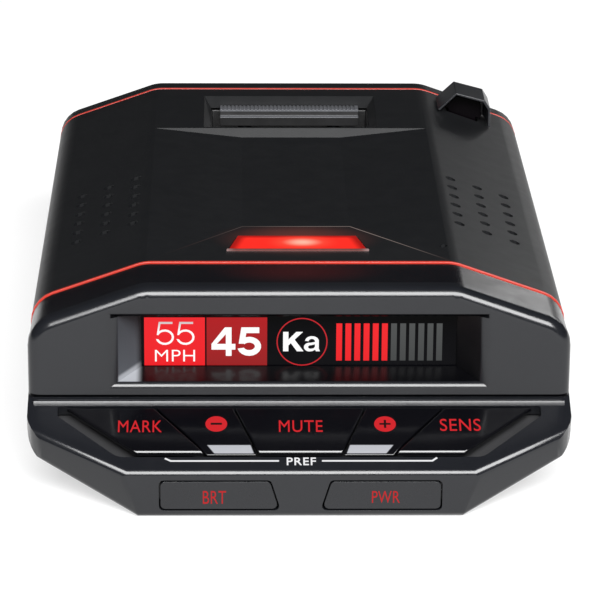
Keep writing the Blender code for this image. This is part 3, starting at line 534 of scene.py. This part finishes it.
FILTER = dark_glass("red_filter", srgb(9, 2, 3))
# painted shade: the coils under the release bar get a near black steel tone
SPRING_IN_SHADE = metal("spring_steel_in_shade", srgb(18, 18, 20), srgb(34, 34, 37), 0.5)
HOOD_FILTER = dark_glass("hood_filter", srgb(3, 2, 3))
BOARD = circuit_board()
STEEL = metal("bare_metal", srgb(150, 152, 156), srgb(196, 198, 202), 0.28, (1.0, 9.0, 1.0))
CAST = metal("cast_metal", srgb(120, 122, 126), srgb(165, 167, 170), 0.45, (1.0, 1.0, 1.0), 1.1, 0.03)
CERAMIC = ceramic()
LEDS = led_package()

RED_INK = printing("red_ink", srgb(214, 32, 40), 0.8)
DARK_RED_INK = printing("dark_red_ink", srgb(200, 28, 32), 0.75)
WHITE_INK = printing("white_ink", srgb(240, 240, 242), 0.85)
SIGN_INK = printing("sign_ink", srgb(30, 4, 6), 0.5)
SPEED_RED = lit("speed_red", srgb(236, 26, 34), srgb(240, 34, 42), 17.4, 25.3)
LIMIT_RED = lit("limit_red", srgb(150, 26, 28), srgb(178, 20, 26), 17.4, 25.3)
BAR_RED = lit("bar_red", srgb(234, 30, 36), srgb(244, 36, 42), 18.2, 24.3)
BAR_GREY = lit("bar_grey", srgb(66, 68, 68), srgb(78, 80, 80), 18.2, 24.3)
RING_RED = lit("ring_red", srgb(196, 34, 42), srgb(190, 32, 40), 17.4, 25.3)
SCREEN_WHITE = lit("screen_white", srgb(255, 255, 255), srgb(255, 255, 255), 17.4, 25.3)
SPEED_WHITE = lit("speed_white", srgb(255, 250, 250), srgb(205, 190, 192), 23.2, 24.6)


# ---------------------------------------------------------------- finish of the CAD nodes

def soften(name, width):
    """Rounds the sharp edges of a CAD node with modifiers only."""
    thing = nodes[name]
    weld = thing.modifiers.new("weld", "WELD")
    weld.merge_threshold = 0.002 * MM
    flat = thing.modifiers.new("flat", "DECIMATE")
    flat.decimate_type = "DISSOLVE"
    flat.angle_limit = math.radians(0.4)
    edge = thing.modifiers.new("edge", "BEVEL")
    edge.width = width * MM
    edge.segments = 3
    edge.limit_method = "ANGLE"
    edge.angle_limit = math.radians(28.0)
    edge.use_clamp_overlap = True
    shade = thing.modifiers.new("shade", "WEIGHTED_NORMAL")
    shade.weight = 100
    shade.keep_sharp = True
    thing.data.shade_smooth()
    return thing


def sharpen_creases(thing):
    """Keeps the valley's shallow creases crisp: every fold but the section's long rounded edges."""
    group = bpy.data.node_groups.new("sharp_creases", "GeometryNodeTree")
    group.interface.new_socket("Geometry", in_out="INPUT", socket_type="NodeSocketGeometry")
    group.interface.new_socket("Geometry", in_out="OUTPUT", socket_type="NodeSocketGeometry")
    start = group.nodes.new("NodeGroupInput")
    end = group.nodes.new("NodeGroupOutput")
    fold = group.nodes.new("GeometryNodeInputMeshEdgeAngle")
    ends = group.nodes.new("GeometryNodeInputMeshEdgeVertices")
    step = group.nodes.new("ShaderNodeVectorMath")
    step.operation = "SUBTRACT"
    unit = group.nodes.new("ShaderNodeVectorMath")
    unit.operation = "NORMALIZE"
    parts = group.nodes.new("ShaderNodeSeparateXYZ")
    place_parts = group.nodes.new("ShaderNodeSeparateXYZ")
    shade = group.nodes.new("GeometryNodeSetShadeSmooth")
    shade.domain = "EDGE"
    shade.inputs["Shade Smooth"].default_value = False
    links = group.links

    def compare(value, operation, limit):
        size = group.nodes.new("ShaderNodeMath")
        size.operation = "ABSOLUTE"
        test = group.nodes.new("ShaderNodeMath")
        test.operation = operation
        test.inputs[1].default_value = limit
        links.new(value, size.inputs[0])
        links.new(size.outputs[0], test.inputs[0])
        return test.outputs[0]

    def combine(operation, first, second):
        node = group.nodes.new("ShaderNodeMath")
        node.operation = operation
        links.new(first, node.inputs[0])
        links.new(second, node.inputs[1])
        return node.outputs[0]

    links.new(ends.outputs["Position 1"], step.inputs[0])
    links.new(ends.outputs["Position 2"], step.inputs[1])
    links.new(step.outputs["Vector"], unit.inputs[0])
    links.new(unit.outputs["Vector"], parts.inputs["Vector"])
    links.new(ends.outputs["Position 1"], place_parts.inputs["Vector"])
    folded = compare(fold.outputs["Unsigned Angle"], "GREATER_THAN", math.radians(2.0))
    slanted = compare(parts.outputs["Y"], "LESS_THAN", 0.999)
    inner = compare(place_parts.outputs["X"], "LESS_THAN", 20 * MM)
    links.new(combine("MULTIPLY", folded, combine("MAXIMUM", slanted, inner)), shade.inputs["Selection"])
    links.new(start.outputs["Geometry"], shade.inputs["Geometry"])
    links.new(shade.outputs["Geometry"], end.inputs["Geometry"])
    creases = thing.modifiers.new("creases", "NODES")
    creases.node_group = group
    before_edge = 2
    thing.modifiers.move(len(thing.modifiers) - 1, before_edge)


def paint(thing, material):
    thing.data.materials.clear()
    thing.data.materials.append(material)


FINISHES = (
    (LIT_SHELL, 0.35, ("top_case",)),
    (SHELL, 0.35, ("bottom_case", "rear_bezel")),
    (BEZEL, 0.5, ("front_bezel",)),
    (COLLAR, 0.2, ("front_collar",)),
    (TRIM, 0.1, ("front_pinstripe", "rear_pinstripe")),
    (KEY, 0.25, ("key_mark", "key_mute", "key_sens")),
    (NARROW_KEY, 0.2, ("key_minus", "key_plus")),
    (BUTTON, 0.3, ("button_brt", "button_pwr")),
    (HOOD, 0.35, ("laser_hood",)),
    (BAR, 0.12, ("mount_release_bar",)),
    (BLACK, 0.2, ("mount_pocket", "power_jack", "earphone_jack", "speaker", "laser_sensor_front",
                  "laser_sensor_rear")),
    (LAMP, 0.12, ("alert_lamp_lens",)),
    (GLASS, 0.1, ("display_window", "oled_display")),
    (FILTER, 0.2, ("rear_window",)),
    (HOOD_FILTER, 0.2, ("laser_hood_lens",)),
    (SILICONE, 0.1, ("key_mat",)),
    (BOARD, 0.05, ("main_board", "key_board", "button_board")),
    (STEEL, 0.08, ("usb_jack", "shield_can", "switch_brt", "switch_pwr", "case_screw_1", "case_screw_2",
                   "case_screw_3", "case_screw_4", "release_spring_left", "release_spring_right",
                   "dome_mark", "dome_minus", "dome_mute", "dome_plus", "dome_sens")),
    (CAST, 0.3, ("radar_antenna",)),
    (CERAMIC, 0.2, ("gps_antenna",)),
    (LEDS, 0.1, ("alert_lamp_leds",)),
)

for material, width, names in FINISHES:
    for name in names:
        paint(soften(name, width), material)
sharpen_creases(nodes["top_case"])
unpainted = sorted(set(nodes) - {name for row in FINISHES for name in row[2]})
if unpainted:
    raise RuntimeError(f"no finish for {unpainted}")


# ---------------------------------------------------------------- printed and lit pieces

class Plane:
    """A flat face to draw on, in millimetres: an origin and its right, up and outward directions."""

    def __init__(self, origin, right, up):
        self.origin = Vector(origin)
        self.right = Vector(right)
        self.up = Vector(up)
        self.out = self.right.cross(self.up)

    def point(self, x, y, rise=0.0):
        return (self.origin + self.right * x + self.up * y + self.out * rise) * MM


SHELF = Plane((0, CHIN_Y, SHELF_FRONT_Z), (1, 0, 0), (0, math.cos(SHELF_ANGLE), math.sin(SHELF_ANGLE)))
CHIN = Plane((0, CHIN_Y, 0), (1, 0, 0), (0, 0, 1))
SCREEN = Plane((0, SCREEN_Y, 0), (1, 0, 0), (0, 0, 1))


def add_piece(name, data, material, body):
    """Turns bmesh data into a piece that rides on a body."""
    bmesh.ops.remove_doubles(data, verts=data.verts, dist=0.0005 * MM)
    bmesh.ops.recalc_face_normals(data, faces=data.faces)
    mesh = bpy.data.meshes.new(name)
    data.to_mesh(mesh)
    data.free()
    mesh.materials.append(material)
    piece = bpy.data.objects.new(name, mesh)
    bpy.context.scene.collection.objects.link(piece)
    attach(piece, body)
    return piece


def add_slab(data, plane, outline, low, high):
    """A closed slab with the given outline, standing on the plane."""
    bottom = [data.verts.new(plane.point(x, y, low)) for x, y in outline]
    top = [data.verts.new(plane.point(x, y, high)) for x, y in outline]
    count = len(outline)
    for i in range(count):
        j = (i + 1) % count
        data.faces.new((bottom[i], bottom[j], top[j], top[i]))
    data.faces.new(list(reversed(bottom)))
    data.faces.new(top)


def slabs(name, plane, outlines, material, body, low=0.0, high=INK):
    data = bmesh.new()
    for outline in outlines:
        add_slab(data, plane, outline, low, high)
    add_piece(name, data, material, body)


def rectangle(left, right, low, high):
    return [(left, low), (right, low), (right, high), (left, high)]


def circle(x, y, radius, sides=48):
    turns = [2 * math.pi * i / sides for i in range(sides)]
    return [(x + radius * math.cos(t), y + radius * math.sin(t)) for t in turns]


def filled(name, source, plane, area, material, body, rise):
    """A filled curve as a thin piece, fitted to an area (left, right, low, high) of a plane."""
    bpy.context.scene.collection.objects.link(source)
    bpy.context.view_layer.update()
    flat = bpy.data.meshes.new_from_object(source.evaluated_get(bpy.context.evaluated_depsgraph_get()))
    bpy.data.objects.remove(source)
    data = bmesh.new()
    data.from_mesh(flat)
    left, right, low, high = area
    xs = [v.co.x for v in data.verts]
    ys = [v.co.y for v in data.verts]
    for vertex in data.verts:
        x = left + (vertex.co.x - min(xs)) / (max(xs) - min(xs)) * (right - left)
        y = low + (vertex.co.y - min(ys)) / (max(ys) - min(ys)) * (high - low)
        vertex.co = plane.point(x, y, rise + (INK if vertex.co.z > 0 else 0.0))
    return add_piece(name, data, material, body)


def lettering(name, words, plane, area, material, body, weight=0.0, spacing=1.0, rise=0.0):
    """Words in Blender's own font; weight thickens the strokes."""
    font = bpy.data.curves.new(name + "_font", "FONT")
    font.body = words
    font.offset = weight
    font.space_character = spacing
    font.extrude = 0.01
    font.resolution_u = 5
    source = bpy.data.objects.new(name + "_font", font)
    return filled(name, source, plane, area, material, body, rise)


def outlined(name, outlines, plane, area, material, body, rise=0.0):
    """A sign drawn with closed outlines; one inside another is a hole."""
    curve = bpy.data.curves.new(name + "_outline", "CURVE")
    curve.dimensions = "2D"
    curve.fill_mode = "BOTH"
    curve.extrude = 0.01
    for outline in outlines:
        spline = curve.splines.new("POLY")
        spline.points.add(len(outline) - 1)
        for point, (x, y) in zip(spline.points, outline):
            point.co = (x, y, 0.0, 1.0)
        spline.use_cyclic_u = True
    source = bpy.data.objects.new(name + "_outline", curve)
    return filled(name, source, plane, area, material, body, rise)


def arc(centre, radii, start, end, steps=14):
    """Points of an elliptical arc between two angles in degrees."""
    turns = [math.radians(start + (end - start) * k / steps) for k in range(steps + 1)]
    return [(centre[0] + radii[0] * math.cos(t), centre[1] + radii[1] * math.sin(t)) for t in turns]


def shifted(outlines, right, wide=1.0, high=1.0):
    return [[(right + x * wide, y * high) for x, y in outline] for outline in outlines]


def figure_five(across, up, joint):
    """A 5 in a unit box; across and up are the stroke's widths, joint the angle where bowl meets stem."""
    bowl, radii = (0.5, 0.335), (0.5, 0.335)
    inner = (radii[0] - across, radii[1] - up)
    top = [(0.92, 1.0), (0.17, 1.0), (0.06, 0.43), (0.06 + across * 0.9, 0.43)]
    end = [(0.17 + across * 0.8, 1.0 - up), (0.92, 1.0 - up)]
    return [top + arc(bowl, inner, 152, -158) + arc(bowl, radii, -166, joint) + end]


def figure_four():
    body = [(0.60, 0.0), (0.60, 0.22), (0.0, 0.22), (0.0, 0.42), (0.56, 1.0), (0.84, 1.0), (0.84, 0.42),
            (1.0, 0.42), (1.0, 0.22), (0.84, 0.22), (0.84, 0.0)]
    return [body, [(0.60, 0.42), (0.60, 0.76), (0.22, 0.42)]]


def letter_k():
    return [[(0.0, 0.0), (0.26, 0.0), (0.26, 0.30), (0.38, 0.42), (0.68, 0.0), (1.0, 0.0), (0.56, 0.60),
             (0.97, 1.0), (0.64, 1.0), (0.26, 0.60), (0.26, 1.0), (0.0, 1.0)]]


def letter_a():
    """A two-storey a in a unit box."""
    head = arc((0.50, 0.68), (0.43, 0.33), 176, 0) + [(0.93, 0.18), (1.0, 0.0), (0.75, 0.0), (0.71, 0.11)]
    bowl = [(0.55, 0.02)] + arc((0.34, 0.28), (0.34, 0.29), 275, 80) + [(0.69, 0.62)]
    under = arc((0.49, 0.66), (0.20, 0.17), 0, 176)
    hole = [(0.69, 0.47)] + arc((0.42, 0.285), (0.16, 0.12), 85, 270) + [(0.60, 0.19), (0.69, 0.30)]
    return [head + bowl + under, hole]


def ribbon(points, width):
    """The outline of a line of constant width through the points, with mitred corners."""
    left, right = [], []
    for i, point in enumerate(points):
        here = Vector(point)
        before = (here - Vector(points[i - 1])).normalized() if i > 0 else None
        after = (Vector(points[i + 1]) - here).normalized() if i < len(points) - 1 else None
        direction = ((before or after) + (after or before)).normalized()
        normal = Vector((-direction.y, direction.x))
        reach = width / 2 / max(direction.dot(after or before), 0.5)
        left.append(tuple(here + normal * reach))
        right.append(tuple(here - normal * reach))
    return right + list(reversed(left))


def plus_sign(x, y, reach, half):
    """The outline of a plus with bars of the given half width."""
    corner = [(half, -reach), (half, -half), (reach, -half)]
    result = []
    for _ in range(4):
        result += [(x + across, y + up) for across, up in corner]
        corner = [(-up, across) for across, up in corner]
    return result


def add_key_printing():
    """Red words and signs that ride on their keys; each area is left, right, low, high on the shelf."""
    legends = (("mark", "MARK", (-27.6, -20.95, 8.5, 11.0)), ("mute", "MUTE", (-3.2, 3.45, 8.5, 11.0)),
               ("sens", "SENS", (21.3, 27.5, 8.7, 11.3)))
    for key, words, area in legends:
        lettering(f"legend_{key}", words, SHELF, area, RED_INK, f"{key}_key", 0.0, 1.06)
    disc_radius, reach = 1.65, 0.85
    minus, plus = (-12.7, 10.25), (12.95, 10.2)
    signs = {"minus": rectangle(minus[0] - reach, minus[0] + reach, minus[1] - 0.2, minus[1] + 0.2),
             "plus": plus_sign(*plus, reach, 0.17)}
    for key, centre in (("minus", minus), ("plus", plus)):
        body = f"{key}_key"
        slabs(f"icon_{key}_disc", SHELF, [circle(*centre, disc_radius)], RED_INK, body)
        slabs(f"icon_{key}_sign", SHELF, [signs[key]], SIGN_INK, body, INK, 2 * INK)


def add_shelf_printing():
    root, slot = "housing", "bezel_plastic"
    area = (-2.1, 2.3, 1.45, 3.05)
    lettering("legend_pref", "PREF", SHELF, area, WHITE_INK, root, 0.012, 1.1)
    lines = [[(-20.4, 2.9), (-19.5, 2.35), (-3.25, 2.35)], [(3.2, 2.35), (19.8, 2.35), (20.55, 3.0)]]
    slabs("pref_rule", SHELF, [ribbon(line, 0.3) for line in lines], WHITE_INK, root)


def add_button_printing():
    legends = (("brt", "BRT", (-14.7, -11.2, 2.3, 4.4)), ("pwr", "PWR", (10.7, 14.9, 2.4, 4.35)))
    for name, words, area in legends:
        lettering(f"legend_{name}", words, CHIN, area, DARK_RED_INK, f"{name}_button", 0.0, 1.05)


def add_screen_content():
    """What the display shows; each area is left, right, low, high on the screen."""
    root, slot = "housing", "display_glass"
    panels = (("screen_speed_panel", -23.77, -14.46, SPEED_RED),
              ("screen_limit_panel", -14.21, -4.92, LIMIT_RED))
    for name, left, right, material in panels:
        slabs(name, SCREEN, [rectangle(left, right, 17.45, 25.3)], material, root)
    thin_five = figure_five(0.12, 0.088, 128)
    bold_five = figure_five(0.26, 0.20, 108)
    speed, speed_area = thin_five + shifted(thin_five, 1.12), (-21.97, -16.05, 20.83, 24.59)
    limit, limit_area = figure_four() + shifted(bold_five, 1.08), (-13.46, -5.86, 19.02, 23.69)
    band_name, band_area = letter_k() + shifted(letter_a(), 1.02, 0.78, 0.77), (-2.47, 3.19, 19.75, 22.95)
    unit_area = (-22.14, -15.99, 18.11, 20.0)
    outlined("screen_speed", speed, SCREEN, speed_area, SPEED_WHITE, root, INK)
    lettering("screen_unit", "MPH", SCREEN, unit_area, SCREEN_WHITE, root, -0.008, 1.05, INK)
    outlined("screen_limit", limit, SCREEN, limit_area, SCREEN_WHITE, root, INK)
    outlined("screen_band", band_name, SCREEN, band_area, SCREEN_WHITE, root, INK)
    add_screen_ring()
    first, pitch, width, count, lit_count = 5.69, 1.40, 0.9, 12, 6
    starts = [first + i * pitch for i in range(count)]
    bars = [rectangle(start, start + width, 18.23, 24.32) for start in starts]
    slabs("screen_bars_lit", SCREEN, bars[:lit_count], BAR_RED, root)
    slabs("screen_bars_unlit", SCREEN, bars[lit_count:], BAR_GREY, root)


def add_lamp_edge_highlight():
    """A fine glowing bead along the lens's front edge, on the sloping facet: a painted highlight of that
    edge.
    """
    lens_proud, overhang, taper = 0.25, 0.35, 0.1
    front, back, below, above = -0.42, 0.12, -0.3, 0.27
    down_slope = (0, math.cos(FACET_SLOPE), -math.sin(FACET_SLOPE))
    facet = Plane((0, LAMP_LOW.y, LAMP_HIGH.z - lens_proud), (1, 0, 0), down_slope)
    half = LAMP_FRONT_HALF + overhang
    outline = [(-half, front), (half, front), (half - taper, back), (-half + taper, back)]
    slabs("lamp_edge_highlight", facet, [outline], LAMP_EDGE_HIGHLIGHT, "housing", below, above)


def add_coil(side, x):
    """The coil spring under one end of the release bar."""
    low, high = COIL_Z
    turns, steps, around, radius, wire = 4, 20, 8, 1.05, 0.17
    data = bmesh.new()
    rings = []
    for i in range(turns * steps + 1):
        turn = 2 * math.pi * i / steps
        share = min(max((i / steps - 0.75) / (turns - 1.5), 0.0), 1.0)
        centre = Vector((x, COIL_Y, low + wire + (high - low - 2 * wire) * share))
        outward = Vector((math.cos(turn), math.sin(turn), 0.0))
        ring = []
        for k in range(around):
            angle = 2 * math.pi * k / around
            spoke = outward * math.cos(angle) + Vector((0.0, 0.0, math.sin(angle)))
            ring.append(data.verts.new((centre + outward * radius + spoke * wire) * MM))
        rings.append(ring)
    for near, far in zip(rings, rings[1:]):
        for k in range(around):
            j = (k + 1) % around
            data.faces.new((near[k], near[j], far[j], far[k]))
    data.faces.new(rings[0])
    data.faces.new(list(reversed(rings[-1])))
    coil = add_piece(f"release_coil_{side}", data, SPRING_IN_SHADE, "housing")
    for face in coil.data.polygons:
        face.use_smooth = True
    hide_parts(f"release_spring_{side}")
    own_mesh(coil)


def add_screen_ring():
    sides, centre, outer, inner = 72, (0.44, 21.31), 3.92, 3.74
    data = bmesh.new()
    rings = []
    for radius, rise in ((outer, 0.0), (outer, INK), (inner, INK), (inner, 0.0)):
        rings.append([data.verts.new(SCREEN.point(x, y, rise)) for x, y in circle(*centre, radius, sides)])
    for near, far in zip(rings, rings[1:] + rings[:1]):
        for i in range(sides):
            j = (i + 1) % sides
            data.faces.new((near[i], near[j], far[j], far[i]))
    add_piece("screen_ring", data, RING_RED, "housing")


add_key_printing()
add_shelf_printing()
add_button_printing()
add_screen_content()
add_lamp_edge_highlight()
add_coil("left", -COIL_X)
add_coil("right", COIL_X)


# ---------------------------------------------------------------- stage

def add_light(name, at, target, size, power):
    """An area light; places are in metres and size is (width, height)."""
    data = bpy.data.lights.new(name, "AREA")
    data.shape = "RECTANGLE"
    data.size, data.size_y = size
    data.energy = power
    light = bpy.data.objects.new(name, data)
    light.location = at
    light.rotation_euler = (Vector(target) - Vector(at)).to_track_quat("-Z", "Y").to_euler()
    bpy.context.scene.collection.objects.link(light)


def add_stage():
    world = bpy.data.worlds.new("world")
    world.use_nodes = True
    world.node_tree.nodes["Background"].inputs["Color"].default_value = (1, 1, 1, 1)
    world.node_tree.nodes["Background"].inputs["Strength"].default_value = 0.02
    bpy.context.scene.world = world
    bpy.context.scene.view_settings.view_transform = "Standard"
    data = bmesh.new()
    bmesh.ops.create_grid(data, x_segments=1, y_segments=1, size=3.0)
    mesh = bpy.data.meshes.new("floor")
    data.to_mesh(mesh)
    data.free()
    floor = bpy.data.objects.new("floor", mesh)
    floor.location.z = -0.05 * MM        # just clear of the underside
    bpy.context.scene.collection.objects.link(floor)
    material, shader = new_material("floor", (0.3, 0.3, 0.3), 0.9)
    shader.inputs["Emission Color"].default_value = (1, 1, 1, 1)
    shader.inputs["Emission Strength"].default_value = 0.6
    floor.data.materials.append(material)
    add_light("front_softbox", (0.10, -0.72, 0.66), (0, 0, 0), (1.1, 0.52), 38.0)
    add_light("back_right", (0.62, 1.15, 0.33), (0.02, 0, 0.03), (0.5, 0.2), 0.9)


add_camera()
add_stage()
